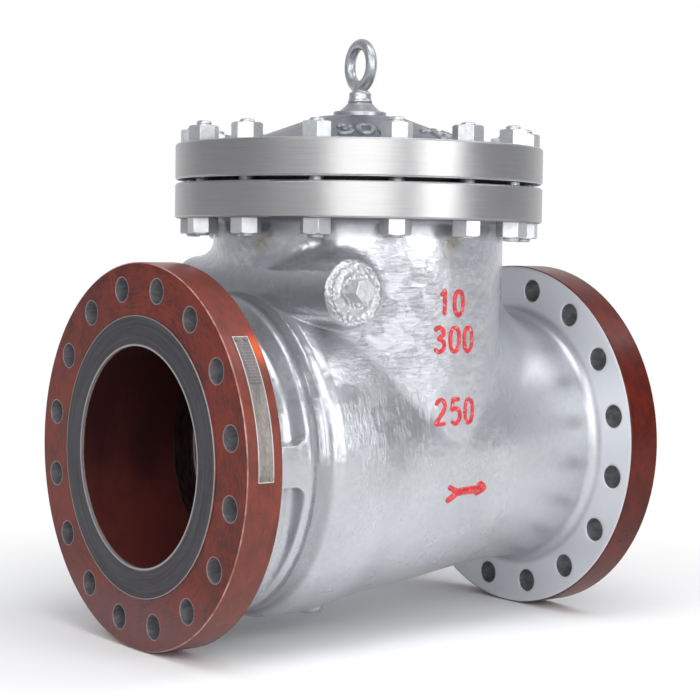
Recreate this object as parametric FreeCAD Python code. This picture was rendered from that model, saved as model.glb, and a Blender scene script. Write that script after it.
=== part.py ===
"""Swing type non-return valve, NPS 10, Class 300, with a bolted cover.

Frame: the origin is the centre of the inlet flange's bolting plane. +X is the
flow direction, +Z points up through the cover, and the operator side is -Y.
Lengths are in millimetres and angles in degrees.
"""
import FreeCAD, Part
import math
import os

Vector = FreeCAD.Vector

# Port and end flanges, each stepped outward from the one before
port_d = 254.0
raised_face_width = 34.9
raised_face_height = 1.6
bolt_circle_step = 66.7
bolt_edge_width = 28.8
flange_thickness = 46.2
flange_holes = 16
inlet_hole_d = 28.4
outlet_hole_d = 28.8
flange_edge = 1.5

# Barrel of the casting, from the inlet flange to the outlet flange
inlet_hub_wall = 38.0
outlet_hub_wall = 31.0
hub_fillet = 14.0
inlet_recess = 52.0
recess_wall_length = 6.0
web_top = 25.0
web_bottom = -21.0
pocket_corner = 16.0
barrel_step = 70.5
shoulder_step = 10.5
shoulder_length = 24.0
shoulder_fall = 1.5
crest_rise_length = 18.8
crest_length = 44.0
crest_blend_length = 49.0
crest_blend_drop = 7.9
taper_end_step = 4.7
taper_end_length = 121.6
barrel_wall = 25.0
barrel_run = 81.2
outlet_throat_length = 62.0

# Neck that carries the cover
neck_inset = 19.5
neck_lap = 11.6
neck_wall = 23.0
neck_rise = 120.2
neck_inlet_blend = 34.0
outlet_blend_share = 1.108
under_flange_fillet = 7.0
body_cover_flange_thickness = 42.3

# Cover
gasket_thickness = 4.5
gasket_inner_step = 4.0
gasket_stud_gap = 18.5
cover_thickness = 43.6
dome_stud_gap = 50.5
dome_crown_d = 104.0
dome_rise = 37.0
cover_wall = 25.0
cover_edge = 2.0
lift_boss_d = 65.0
lift_boss_height = 17.5
lift_boss_rim = 6.5
lift_boss_skirt_d = 52.0
lift_boss_top_d = 30.0

# Cover studs and their nuts
stud_count = 14
stud_circle_step = 25.5
stud_edge_width = 22.0
stud_d = 19.0
stud_clearance = 1.0
stud_chamfer = 1.5
nut_across_flats = 31.75
nut_height = 18.6
nut_corner_chamfer = 2.4

# Lifting eye bolt
eye_collar_d = 29.0
eye_collar_height = 13.0
eye_stem_d = 19.0
eye_stem_height = 6.7
eye_inner_d = 38.0
eye_section_d = 14.0
eye_section_sides = 12
eye_shank_d = 20.0
eye_shank_length = 30.0
eye_turn = 82.5

# Hinge pin, its housing across the body, blind on the far side, and its plug
pin_rise = 51.5
pin_inset = 10.0
pin_d = 25.0
pin_housing_d = 77.0
pin_housing_drop = 3.5
pin_housing_inset = 17.5
pin_housing_far_inset = 63.5
pin_housing_root_fillet = 24.0
pin_blind_wall = 16.0
plug_d = 40.0
plug_depth = 30.0
plug_rim_height = 3.0
plug_head_across_flats = 24.5
plug_head_length = 21.0
weld_section_d = 9.0
pin_end_gap = 0.3

# Seat ring
seat_lead = 18.0
seat_thread_wall = 11.0
seat_thread_length = 22.0
seat_flange_wall = 20.0
seat_flange_thickness = 6.0

# Disc, its stud and its fastening
disc_lap = 16.0
disc_gap = 0.3
disc_rim_thickness = 18.0
disc_hub_thickness = 28.0
disc_hub_d = 84.0
disc_land_width = 14.0
disc_land_height = 2.0
disc_stud_d = 32.0
disc_stud_end = 12.0
disc_washer_d = 60.0
disc_washer_thickness = 5.0
disc_nut_across_flats = 50.0
disc_nut_height = 26.0
split_pin_d = 5.0

# Hinge arm and its bushes
arm_eye_thickness = 24.0
arm_eye_d = 72.0
arm_hub_d = 42.0
arm_hub_length = 32.0
arm_hub_spread = 116.4
arm_web_width = 60.0
bush_wall = 3.0
stop_lug_length = 45.0
stop_lug_thickness = 14.0
swing_range = 60.0

# Drain boss under the barrel
drain_offset = 245.0
drain_boss_d = 36.0
drain_boss_depth = 5.5

# Nameplate strap on the inlet flange's rim
plate_start = 13.4
plate_width = 20.0
plate_thickness = 1.2
plate_low_angle = -2.0
plate_high_angle = 40.5
rivet_d = 3.0
rivet_head_d = 5.5
rivet_head_height = 1.0
rivet_depth = 6.0
rivet_inset = 4.0

# Fits
running_clearance = 0.08
side_clearance = 0.3
hub_side_play = 1.8
stop_gap = 0.5
hub_swing_clearance = 3.0
hole_clearance = 0.1
cut_margin = 3.0

# Sizes and places that follow from the driving sizes
X_AXIS = Vector(1, 0, 0)
Y_AXIS = Vector(0, 1, 0)
Z_AXIS = Vector(0, 0, 1)
raised_face_od = port_d + 2 * raised_face_width
flange_pcd = port_d + 2 * bolt_circle_step
flange_od = flange_pcd + 2 * bolt_edge_width
inlet_hub_d = port_d + 2 * inlet_hub_wall
outlet_hub_d = port_d + 2 * outlet_hub_wall
taper_end_d = outlet_hub_d + 2 * taper_end_step
barrel_d = port_d + 2 * barrel_step
barrel_r = barrel_d / 2
shoulder_d = barrel_d - 2 * shoulder_step
neck_d = barrel_d - 2 * neck_inset
neck_bore_r = neck_d / 2 - neck_wall
stud_pcd = neck_d + 2 * stud_circle_step
cover_flange_od = stud_pcd + 2 * stud_edge_width
gasket_inner_d = 2 * (neck_bore_r + gasket_inner_step)
gasket_outer_d = stud_pcd - 2 * gasket_stud_gap
dome_base_d = stud_pcd - 2 * dome_stud_gap
seat_thread_d = port_d + 2 * seat_thread_wall
seat_flange_d = port_d + 2 * seat_flange_wall
disc_d = port_d + 2 * disc_lap
inlet_face = -raised_face_height
recess_end = flange_thickness + inlet_recess
shoulder_start = recess_end + recess_wall_length
shoulder_end = shoulder_start + shoulder_length
crest_start = shoulder_end + crest_rise_length
crest_end = crest_start + crest_length
neck_offset = crest_start - neck_lap + neck_d / 2
outlet_back = neck_offset + neck_d / 2 + barrel_run
outlet_plane = outlet_back + flange_thickness
outlet_face = outlet_plane + raised_face_height
taper_end_offset = outlet_back - taper_end_length
neck_outlet_blend = outlet_blend_share * barrel_run
pin_offset = neck_offset - neck_bore_r + pin_inset
pin_height = disc_d / 2 + pin_rise
pin_centre = Vector(pin_offset, 0, pin_height)
pin_near_face = -(barrel_r - pin_housing_inset)
pin_far_face = barrel_r - pin_housing_far_inset
pin_blind_end = pin_far_face - pin_blind_wall
seat_bridge_offset = pin_offset - seat_lead
seat_face = seat_bridge_offset + seat_flange_thickness
disc_front = seat_face + disc_gap
disc_back = disc_front + disc_hub_thickness
arm_front = disc_back + side_clearance
arm_back = arm_front + arm_eye_thickness
washer_front = arm_back + side_clearance
nut_front = washer_front + disc_washer_thickness
nut_back = nut_front + disc_nut_height
disc_stud_tip = nut_back + disc_stud_end
cover_seat_height = barrel_r + neck_rise
body_flange_base = cover_seat_height - body_cover_flange_thickness
cover_base = cover_seat_height + gasket_thickness
cover_top = cover_base + cover_thickness
crown_height = cover_top + dome_rise
lift_seat = crown_height + lift_boss_height
drain_boss_drop = barrel_r + drain_boss_depth


def along_x(x, r):
    """A profile point for a form turned about the flow axis."""
    return Vector(x, 0, r)


def along_neck(r, z):
    """A profile point for a form turned about the neck's axis."""
    return Vector(neck_offset + r, 0, z)


def corner_arc(before, corner, after, radius):
    """The two tangent points and the middle of the arc that rounds a corner."""
    back = (before - corner).normalize()
    ahead = (after - corner).normalize()
    half_angle = back.getAngle(ahead) / 2
    reach = radius / math.tan(half_angle)
    bisector = (back + ahead).normalize()
    centre = corner + bisector * (radius / math.sin(half_angle))
    return corner + back * reach, centre - bisector * radius, corner + ahead * reach


def rounded_face(corners, place):
    """A flat face from (u, v) or (u, v, radius) corners, rounded where a radius is given."""
    points = [place(c[0], c[1]) for c in corners]
    radii = [c[2] if len(c) > 2 else 0 for c in corners]
    edges = []
    ends = []
    for i, point in enumerate(points):
        if radii[i]:
            start, middle, end = corner_arc(points[i - 1], point, points[(i + 1) % len(points)], radii[i])
            ends.append((start, end))
            edges.append(Part.Arc(start, middle, end).toShape())
        else:
            ends.append((point, point))
    for i, end in enumerate(ends):
        following = ends[(i + 1) % len(ends)][0]
        edges.append(Part.LineSegment(end[1], following).toShape())
    return Part.Face(Part.Wire(Part.__sortEdges__(edges)))


def turned_x(corners):
    """A solid turned about the flow axis from (x, radius) corners."""
    return rounded_face(corners, along_x).revolve(Vector(0, 0, 0), X_AXIS, 360)


def turned_neck(corners):
    """A solid turned about the neck's axis from (radius, z) corners."""
    return rounded_face(corners, along_neck).revolve(Vector(neck_offset, 0, 0), Z_AXIS, 360)


def rod(diameter, start, direction, length):
    """A round bar from start along direction."""
    return Part.makeCylinder(diameter / 2, length, start, direction)


def ring(outer_d, inner_d, start, direction, length):
    """A round bar with a hole through it."""
    return rod(outer_d, start, direction, length).cut(rod(inner_d, start, direction, length))


def hex_prism(across_flats, height):
    """A hexagonal prism that stands on the XY plane."""
    corner_r = across_flats / math.sqrt(3)
    points = [Vector(corner_r * math.cos(math.radians(60 * i)),
                     corner_r * math.sin(math.radians(60 * i)), 0) for i in range(6)]
    return Part.Face(Part.makePolygon(points + points[:1])).extrude(Vector(0, 0, height))


def chamfered_hex(across_flats, height, chamfer, both_ends):
    """A hexagonal prism whose corners are turned off by a cone at the top, or at both ends."""
    corner_r = across_flats / math.sqrt(3)
    drop = chamfer * math.tan(math.radians(30))
    low = drop if both_ends else 0
    low_r = corner_r - chamfer if both_ends else corner_r
    outline = [Vector(0, 0, 0), Vector(low_r, 0, 0), Vector(corner_r, 0, low),
               Vector(corner_r, 0, height - drop), Vector(corner_r - chamfer, 0, height),
               Vector(0, 0, height)]
    if not both_ends:
        outline.pop(2)
    bar = Part.Face(Part.makePolygon(outline + outline[:1])).revolve(Vector(0, 0, 0), Z_AXIS, 360)
    return hex_prism(across_flats, height).common(bar)


def polar_x(radius, angle, x):
    """A point at radius and angle about the flow axis, with the angle taken from +Y."""
    turn = math.radians(angle)
    return Vector(x, radius * math.cos(turn), radius * math.sin(turn))


def stud_places():
    """The stud centres on the cover's bolt circle, which straddle the flow axis."""
    step = 360.0 / stud_count
    for i in range(stud_count):
        turn = math.radians(step * (i + 0.5))
        yield Vector(neck_offset + stud_pcd / 2 * math.cos(turn), stud_pcd / 2 * math.sin(turn), 0)


def inlet_end():
    """The inlet flange with the shoulder that rises to the barrel, solid and without its pockets."""
    return turned_x([
        (inlet_face, 0),
        (inlet_face, raised_face_od / 2),
        (0, raised_face_od / 2),
        (0, flange_od / 2 - flange_edge),
        (flange_edge, flange_od / 2),
        (flange_thickness - flange_edge, flange_od / 2),
        (flange_thickness, flange_od / 2 - flange_edge),
        (flange_thickness, shoulder_d / 2),
        (shoulder_start, shoulder_d / 2),
        (shoulder_end, shoulder_d / 2 + shoulder_fall, 14),
        (crest_start, barrel_r),
        (crest_start, 0)])


def pocket_room(floor_r, drop, low, high):
    """The room of one pocket, whose round floor has its centre below the flow axis, between two heights."""
    wall_slope = recess_wall_length / (shoulder_d / 2 - inlet_hub_d / 2)
    reach = flange_od / 2
    room = turned_x([
        (flange_thickness, floor_r, hub_fillet),
        (recess_end, floor_r, 9),
        (recess_end + wall_slope * (reach - floor_r), reach),
        (flange_thickness, reach)])
    room.translate(Vector(0, 0, -drop))
    length = inlet_recess + recess_wall_length
    slab = Part.makeBox(length, flange_od, high - low, Vector(flange_thickness, -reach, low))
    corner = Vector(shoulder_start, 0, low if low > 0 else high)
    edges = [e for e in slab.Edges if abs(e.BoundBox.YLength - flange_od) < 1]
    slab = slab.makeFillet(pocket_corner, [e for e in edges if abs(e.BoundBox.ZMin - corner.z) < 1])
    return room.common(slab)


def inlet_pockets():
    """The upper and the lower pocket behind the inlet flange, of which the lower one fades out downwards."""
    hub_r = inlet_hub_d / 2
    shoulder_r = shoulder_d / 2
    drop = (shoulder_r ** 2 - hub_r ** 2) / (2 * shoulder_r)
    upper = pocket_room(hub_r, 0, web_top, shoulder_d)
    lower = pocket_room(shoulder_r - drop, drop, -shoulder_d, web_bottom)
    return [upper, lower]


def outlet_flange():
    """The outlet flange and the fillet that joins it to its hub, solid."""
    return turned_x([
        (outlet_back - hub_fillet * 2, 0),
        (outlet_back - hub_fillet * 2, outlet_hub_d / 2),
        (outlet_back, outlet_hub_d / 2, hub_fillet),
        (outlet_back, flange_od / 2 - flange_edge),
        (outlet_back + flange_edge, flange_od / 2),
        (outlet_plane - flange_edge, flange_od / 2),
        (outlet_plane, flange_od / 2 - flange_edge),
        (outlet_plane, raised_face_od / 2),
        (outlet_face, raised_face_od / 2),
        (outlet_face, 0)])


def tapered_barrel():
    """The barrel from its crest down the taper to the outlet hub, solid, with a smooth outline."""
    blend_end = crest_end + crest_blend_length
    blend_r = barrel_r - crest_blend_drop
    outline = [
        Vector(crest_end, 0, -barrel_r),
        Vector(blend_end, 0, -blend_r),
        Vector((blend_end + taper_end_offset) / 2, 0, -(blend_r + taper_end_d / 2) / 2),
        Vector(taper_end_offset, 0, -taper_end_d / 2),
        Vector(outlet_back - hub_fillet * 2, 0, -outlet_hub_d / 2)]
    curve = Part.BSplineCurve()
    curve.interpolate(outline, InitialTangent=X_AXIS, FinalTangent=X_AXIS)
    start = Vector(crest_start - neck_inlet_blend * 2, 0, -barrel_r)
    axis_start = Vector(start.x, 0, 0)
    axis_end = Vector(outline[-1].x, 0, 0)
    edges = [
        Part.LineSegment(start, outline[0]).toShape(),
        curve.toShape(),
        Part.LineSegment(outline[-1], axis_end).toShape(),
        Part.LineSegment(axis_end, axis_start).toShape(),
        Part.LineSegment(axis_start, start).toShape()]
    return Part.Face(Part.Wire(edges)).revolve(Vector(0, 0, 0), X_AXIS, 360)


def neck_column():
    """The neck's plain wall, solid, up to the fillet under its flange."""
    height = body_flange_base - under_flange_fillet
    return rod(neck_d, Vector(neck_offset, 0, 0), Z_AXIS, height)


def neck_flange():
    """The flange that the cover bolts to, with its fillet to the neck, solid."""
    start = body_flange_base - under_flange_fillet * 1.5
    return turned_neck([
        (0, start),
        (neck_d / 2, start),
        (neck_d / 2, body_flange_base, under_flange_fillet),
        (cover_flange_od / 2 - cover_edge, body_flange_base),
        (cover_flange_od / 2, body_flange_base + cover_edge),
        (cover_flange_od / 2, cover_seat_height - cover_edge),
        (cover_flange_od / 2 - cover_edge, cover_seat_height),
        (0, cover_seat_height)])


def neck_joint_edges(casting):
    """The edges where the neck's wall meets the barrel."""
    found = []
    for edge in casting.Edges:
        middle = edge.valueAt((edge.FirstParameter + edge.LastParameter) / 2)
        from_axis = math.hypot(middle.x - neck_offset, middle.y)
        on_wall = abs(from_axis - neck_d / 2) < 0.3
        box = edge.BoundBox
        if on_wall and box.ZMax < body_flange_base - under_flange_fillet * 1.5 and box.ZMin > 5:
            found.append(edge)
    return found


def blended_barrel():
    """The tapered barrel with the neck, whose blend is wider towards the outlet."""
    joined = tapered_barrel().fuse(neck_column())
    edges = neck_joint_edges(joined)
    reach = 2 * cover_flange_od
    inlet_side = Part.makeBox(neck_offset - crest_start, reach, reach, Vector(crest_start, -reach / 2, -reach / 2))
    outlet_side = Part.makeBox(reach, reach, reach, Vector(neck_offset, -reach / 2, -reach / 2))
    inlet_half = joined.makeFillet(neck_inlet_blend, edges).common(inlet_side)
    outlet_half = joined.makeFillet(neck_outlet_blend, edges).common(outlet_side)
    return inlet_half.fuse(outlet_half)


def pin_housing():
    """The round housing of the hinge pin with its root fillet and the neck behind it, short on the far side, solid."""
    centre_z = pin_height - pin_housing_drop
    housing = rod(pin_housing_d, Vector(pin_offset, pin_near_face, centre_z), Y_AXIS, -2 * pin_near_face)
    joined = neck_column().fuse(housing)
    root = []
    for edge in joined.Edges:
        middle = edge.valueAt((edge.FirstParameter + edge.LastParameter) / 2)
        on_neck = abs(math.hypot(middle.x - neck_offset, middle.y) - neck_d / 2) < 0.3
        on_housing = abs(math.hypot(middle.x - pin_offset, middle.z - centre_z) - pin_housing_d / 2) < 0.3
        if on_neck and on_housing:
            root.append(edge)
    blended = joined.makeFillet(pin_housing_root_fillet, root)
    corner = Vector(pin_offset - neck_d / 2, pin_far_face, centre_z - neck_d / 2)
    beyond = Part.makeBox(neck_d, neck_d, neck_d, corner)
    return blended.cut(beyond.cut(neck_column()))


def casting_outside():
    """The outside of the body casting before its passages are cored."""
    drain_top = -barrel_r + barrel_wall
    drain = rod(drain_boss_d, Vector(drain_offset, 0, -drain_boss_drop), Z_AXIS, drain_boss_drop + drain_top)
    drain = drain.makeFillet(4, [e for e in drain.Edges if e.BoundBox.ZMax < 1 - drain_boss_drop])
    inlet = inlet_end().cut(inlet_pockets())
    casting = blended_barrel().fuse(inlet).fuse(pin_housing()).removeSplitter()
    return casting.fuse([neck_flange(), outlet_flange(), drain])


def flow_passage():
    """The cored passage from the inlet port through the disc chamber to the outlet port."""
    port_r = port_d / 2
    crest_inside = barrel_r - barrel_wall
    taper_inside = taper_end_d / 2 - barrel_wall
    throat_start = outlet_back - outlet_throat_length
    seat_socket = seat_bridge_offset - seat_thread_length
    return turned_x([
        (inlet_face - cut_margin, 0),
        (inlet_face - cut_margin, port_r),
        (seat_socket, port_r),
        (seat_socket, seat_thread_d / 2),
        (seat_bridge_offset, seat_thread_d / 2),
        (seat_bridge_offset, crest_inside - 5),
        (seat_bridge_offset + 5, crest_inside),
        (crest_end, crest_inside),
        (taper_end_offset, taper_inside),
        (throat_start, port_r),
        (outlet_face + cut_margin, port_r),
        (outlet_face + cut_margin, 0)])


def hinge_pocket():
    """The room that the arm's hubs turn in."""
    pocket_d = arm_hub_d + 2 * hub_swing_clearance
    width = arm_hub_spread + 2 * hub_side_play
    return rod(pocket_d, Vector(pin_offset, -width / 2, pin_height), Y_AXIS, width)


def pin_bores():
    """The hinge pin's bore from the near side to its blind end, and the plug's socket."""
    start = Vector(pin_offset, pin_near_face - cut_margin, pin_height)
    bore = rod(pin_d + 2 * hole_clearance, start, Y_AXIS, pin_blind_end - start.y)
    socket = rod(plug_d, start, Y_AXIS, plug_depth + cut_margin)
    return [bore, socket]


def flange_bolt_holes():
    """The bolt holes of both end flanges, which straddle the vertical centre line."""
    step = 360.0 / flange_holes
    length = flange_thickness + 2 * cut_margin
    holes = []
    for i in range(flange_holes):
        for start, hole_d in ((-cut_margin, inlet_hole_d), (outlet_back - cut_margin, outlet_hole_d)):
            place = polar_x(flange_pcd / 2, step * (i + 0.5), start)
            holes.append(rod(hole_d, place, X_AXIS, length))
    return holes


def stud_holes(bottom, top):
    """Clearance holes for the cover studs between two heights."""
    hole_d = stud_d + 2 * stud_clearance
    length = top - bottom + 2 * cut_margin
    return [rod(hole_d, place + Vector(0, 0, bottom - cut_margin), Z_AXIS, length) for place in stud_places()]


def rivet_places():
    """The direction and the place along X of each rivet in the nameplate strap."""
    inset_angle = math.degrees(rivet_inset / (flange_od / 2))
    for angle in (plate_low_angle + inset_angle, plate_high_angle - inset_angle):
        for x in (plate_start + rivet_inset, plate_start + plate_width - rivet_inset):
            yield x, Vector(0, -math.cos(math.radians(angle)), math.sin(math.radians(angle)))


def rivet_rods(diameter, low_r, high_r):
    """One round bar for each rivet, between two radii about the flow axis."""
    return [rod(diameter, Vector(x, 0, 0) + out * low_r, out, high_r - low_r) for x, out in rivet_places()]


def valve_body():
    """The body casting, with its passages, bores and holes."""
    casting = casting_outside()
    chamber = rod(2 * neck_bore_r, Vector(neck_offset, 0, 0), Z_AXIS, cover_seat_height + cut_margin)
    cuts = [flow_passage(), chamber, hinge_pocket()] + pin_bores()
    casting = casting.cut(cuts[0]).cut(cuts[1:])
    rivets = rivet_rods(rivet_d, flange_od / 2 - rivet_depth, flange_od / 2 + cut_margin)
    holes = flange_bolt_holes() + stud_holes(body_flange_base, cover_seat_height) + rivets
    return casting.cut(holes)


def seat_ring():
    """The ring screwed into the bridge wall, which the disc closes on."""
    port_r = port_d / 2
    return turned_x([
        (seat_bridge_offset - seat_thread_length, port_r),
        (seat_bridge_offset - seat_thread_length, seat_thread_d / 2),
        (seat_bridge_offset, seat_thread_d / 2),
        (seat_bridge_offset, seat_flange_d / 2),
        (seat_face - 2, seat_flange_d / 2),
        (seat_face, seat_flange_d / 2 - 2),
        (seat_face, port_r)])


def disc():
    """The disc with its seating land, its hub and the stud that the arm carries."""
    land_r = port_d / 2 + disc_land_width
    stud_r = disc_stud_d / 2
    chamfer = 2.0
    plate = turned_x([
        (disc_front + disc_land_height, 0),
        (disc_front + disc_land_height, port_d / 2 - 2),
        (disc_front, port_d / 2 - 2),
        (disc_front, land_r),
        (disc_front + disc_land_height, disc_d / 2),
        (disc_front + disc_rim_thickness - 4, disc_d / 2),
        (disc_front + disc_rim_thickness, disc_d / 2 - 4),
        (disc_front + disc_rim_thickness, disc_d / 2 - 30),
        (disc_back, disc_hub_d / 2),
        (disc_back, stud_r),
        (disc_stud_tip - chamfer, stud_r),
        (disc_stud_tip, stud_r - chamfer),
        (disc_stud_tip, 0)])
    return plate.cut(split_pin_hole())


def split_pin_hole():
    """The cross hole for the split pin through the disc's stud."""
    start = Vector(nut_back + split_pin_d / 2 + 1, 0, -disc_stud_d)
    return rod(split_pin_d, start, Z_AXIS, 2 * disc_stud_d)


def split_pin():
    """The split pin that keeps the disc nut on, with its eye and its spread ends."""
    x = nut_back + split_pin_d / 2 + 1
    half = disc_stud_d / 2
    shank = rod(split_pin_d, Vector(x, 0, -half - 4), Z_AXIS, 2 * half + 4.5)
    eye_start = Vector(x - split_pin_d * 0.4, 0, half + split_pin_d * 1.32)
    eye = ring(split_pin_d * 2.6, split_pin_d, eye_start, X_AXIS, split_pin_d * 0.8)
    legs = []
    for side in (-1, 1):
        direction = Vector(0, side, -1)
        legs.append(rod(split_pin_d * 0.6, Vector(x, 0, -half - 3), direction, 9))
    return shank.fuse([eye] + legs)


def disc_washer():
    """The washer between the arm's eye and the disc nut."""
    return ring(disc_washer_d, disc_stud_d, Vector(washer_front, 0, 0), X_AXIS, disc_washer_thickness)


def turned_to_x(shape, x):
    """A shape made along +Z from the origin, laid along +X from x."""
    laid = shape.copy()
    laid.rotate(Vector(0, 0, 0), Y_AXIS, 90)
    laid.translate(Vector(x, 0, 0))
    return laid


def disc_nut():
    """The heavy hexagon nut on the disc's stud."""
    nut = chamfered_hex(disc_nut_across_flats, disc_nut_height, nut_corner_chamfer, True)
    nut = nut.cut(rod(disc_stud_d, Vector(0, 0, -1), Z_AXIS, disc_nut_height + 2))
    return turned_to_x(nut, nut_front)


def arm_side_profile():
    """The arm seen along Y, cranked from the disc's back up to the hinge pin."""
    eye_r = arm_eye_d / 2
    hub_r = arm_hub_d / 2
    crank_start = disc_d / 2 - 40
    corners = [
        (arm_front, -eye_r),
        (arm_back, -eye_r),
        (arm_back, crank_start, 50),
        (pin_offset + hub_r - 1, pin_height),
        (pin_offset + 3, pin_height + 1),
        (pin_offset + 3, pin_height - hub_r + 3),
        (arm_front, disc_d / 2 - 18, 30)]
    side = rounded_face(corners, lambda x, z: Vector(x, -arm_hub_spread, z))
    return side.extrude(Vector(0, 2 * arm_hub_spread, 0))


def arm_front_profile():
    """The arm seen along X, an eye with a stem that forks to the two hubs."""
    eye_r = arm_eye_d / 2
    half_web = arm_web_width / 2
    half_spread = arm_hub_spread / 2
    half_gap = half_spread - arm_hub_length
    fork_low = disc_d / 2 - 18
    corners = [
        (-half_web, 0),
        (half_web, 0),
        (half_web, fork_low - 30, 40),
        (half_spread, fork_low + 16, 20),
        (half_spread, pin_height + 2),
        (half_gap, pin_height + 2),
        (half_gap, fork_low, half_gap * 0.9),
        (-half_gap, fork_low, half_gap * 0.9),
        (-half_gap, pin_height + 2),
        (-half_spread, pin_height + 2),
        (-half_spread, fork_low + 16, 20),
        (-half_web, fork_low - 30, 40)]
    start = pin_offset - arm_hub_d
    front = rounded_face(corners, lambda y, z: Vector(start, y, z))
    stem = front.extrude(Vector(arm_back - start + arm_hub_d, 0, 0))
    return stem.fuse(rod(2 * eye_r, Vector(start, 0, 0), X_AXIS, arm_back - start + arm_hub_d))


def hub_starts():
    """The low Y end of each of the arm's two hubs."""
    return (-arm_hub_spread / 2, arm_hub_spread / 2 - arm_hub_length)


def stop_lugs():
    """The lugs that meet the chamber's wall when the disc is fully open."""
    width = arm_hub_length / 2
    inner_y = arm_hub_spread / 2 - arm_hub_length
    wall_x = neck_offset - math.sqrt(neck_bore_r ** 2 - (inner_y + width) ** 2)
    pocket_r = arm_hub_d / 2 + hub_swing_clearance
    offset = wall_x + stop_gap + stop_lug_thickness / 2 - pin_offset
    lean = math.degrees(math.atan2(offset, pocket_r))
    corner = Vector(pin_offset - stop_lug_thickness / 2, 0, pin_height)
    lugs = []
    for y in (-inner_y - width, inner_y):
        lug = Part.makeBox(stop_lug_thickness, width, stop_lug_length, corner + Vector(0, y, 0))
        lug.rotate(pin_centre, Y_AXIS, lean + swing_range)
        lugs.append(lug)
    return lugs


def hinge_arm():
    """The cranked, forked arm that carries the disc on the hinge pin."""
    arm = arm_side_profile().common(arm_front_profile())
    hubs = [rod(arm_hub_d, Vector(pin_offset, y, pin_height), Y_AXIS, arm_hub_length) for y in hub_starts()]
    arm = arm.fuse(hubs + stop_lugs())
    bush_outer = pin_d + 2 * running_clearance + 2 * bush_wall
    bore = rod(bush_outer, Vector(pin_offset, -arm_hub_spread, pin_height), Y_AXIS, 2 * arm_hub_spread)
    eye_bore = rod(disc_stud_d + 2 * running_clearance, Vector(disc_back - 1, 0, 0), X_AXIS,
                   arm_eye_thickness + 4)
    return arm.cut([bore, eye_bore])


def arm_bush(start_y):
    """One of the bushes pressed into the arm's hubs."""
    inner = pin_d + 2 * running_clearance
    return ring(inner + 2 * bush_wall, inner, Vector(pin_offset, start_y, pin_height), Y_AXIS, arm_hub_length)


def hinge_pin():
    """The hinge pin, which ends just short of the plug and of the bore's blind end."""
    start = pin_near_face + plug_depth + pin_end_gap
    pin = rod(pin_d, Vector(pin_offset, start, pin_height), Y_AXIS, pin_blind_end - pin_end_gap - start)
    ends = [e for e in pin.Edges if e.BoundBox.YLength < 0.1]
    return pin.makeChamfer(1.5, ends)


def pin_plug():
    """The screwed plug that closes the near end of the pin's bore, with its hexagon head."""
    body = rod(plug_d, Vector(0, 0, -plug_depth), Z_AXIS, plug_depth + plug_rim_height)
    head = chamfered_hex(plug_head_across_flats, plug_head_length, nut_corner_chamfer, False)
    head.translate(Vector(0, 0, plug_rim_height))
    plug = body.fuse(head)
    plug.rotate(Vector(0, 0, 0), Z_AXIS, 12)
    plug.rotate(Vector(0, 0, 0), X_AXIS, 90)
    plug.translate(Vector(pin_offset, pin_near_face, pin_height))
    return plug


def plug_weld():
    """The seal weld round the plug, on the housing's face."""
    inner = plug_d / 2
    rise = weld_section_d / 2
    outline = [
        Vector(inner, 0, 0),
        Vector(inner, 0, rise * 0.6),
        Vector(inner + rise * 0.5, 0, rise),
        Vector(inner + rise * 1.3, 0, rise * 0.9),
        Vector(inner + 2 * rise, 0, 0)]
    bead = Part.Face(Part.makePolygon(outline + outline[:1])).revolve(Vector(0, 0, 0), Z_AXIS, 360)
    bead.rotate(Vector(0, 0, 0), X_AXIS, 90)
    bead.translate(Vector(pin_offset, pin_near_face, pin_height))
    return bead


def cover():
    """The domed cover, hollow below, with its flange, stud holes and lifting boss."""
    flange_r = cover_flange_od / 2
    crown_inside = crown_height - cover_wall
    rim_r = lift_boss_d / 2
    outline = [
        (0, crown_inside),
        (dome_crown_d / 2 - 4, crown_inside),
        (neck_bore_r - 14, cover_base + 18),
        (neck_bore_r - 6, cover_base),
        (flange_r - cover_edge, cover_base),
        (flange_r, cover_base + cover_edge),
        (flange_r, cover_top - cover_edge),
        (flange_r - cover_edge, cover_top),
        (dome_base_d / 2, cover_top, 5),
        (dome_crown_d / 2, crown_height, 45),
        (rim_r, crown_height),
        (rim_r, crown_height + lift_boss_rim - 1),
        (rim_r - 1, crown_height + lift_boss_rim),
        (lift_boss_skirt_d / 2, crown_height + lift_boss_rim, 4),
        (lift_boss_top_d / 2 + 3, crown_height + lift_boss_height * 0.8),
        (lift_boss_top_d / 2, lift_seat),
        (0, lift_seat)]
    body = turned_neck(outline)
    socket = rod(eye_shank_d, Vector(neck_offset, 0, lift_seat - eye_shank_length), Z_AXIS,
                 eye_shank_length + cut_margin)
    return body.cut([socket] + stud_holes(cover_base, cover_top))


def cover_gasket():
    """The flat ring gasket between the body and the cover."""
    return ring(gasket_outer_d, gasket_inner_d, Vector(neck_offset, 0, cover_seat_height), Z_AXIS,
                gasket_thickness)


def stud_ends():
    """How far each stud stands out of its upper and its lower nut."""
    for i in range(stud_count):
        yield 4.5 + 1.5 * math.sin(2.3 * i), 3.5 + 1.2 * math.sin(1.7 * i + 1)


def cover_studs():
    """The studs that clamp the cover, with chamfered ends."""
    studs = []
    radius = stud_d / 2
    for place, (above, below) in zip(stud_places(), stud_ends()):
        low = body_flange_base - nut_height - below
        high = cover_top + nut_height + above
        stud = rod(stud_d, place + Vector(0, 0, low), Z_AXIS, high - low)
        rims = [e for e in stud.Edges if e.BoundBox.ZLength < 0.1]
        studs.append(stud.makeChamfer(min(stud_chamfer, radius / 3), rims))
    return Part.makeCompound(studs)


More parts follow.
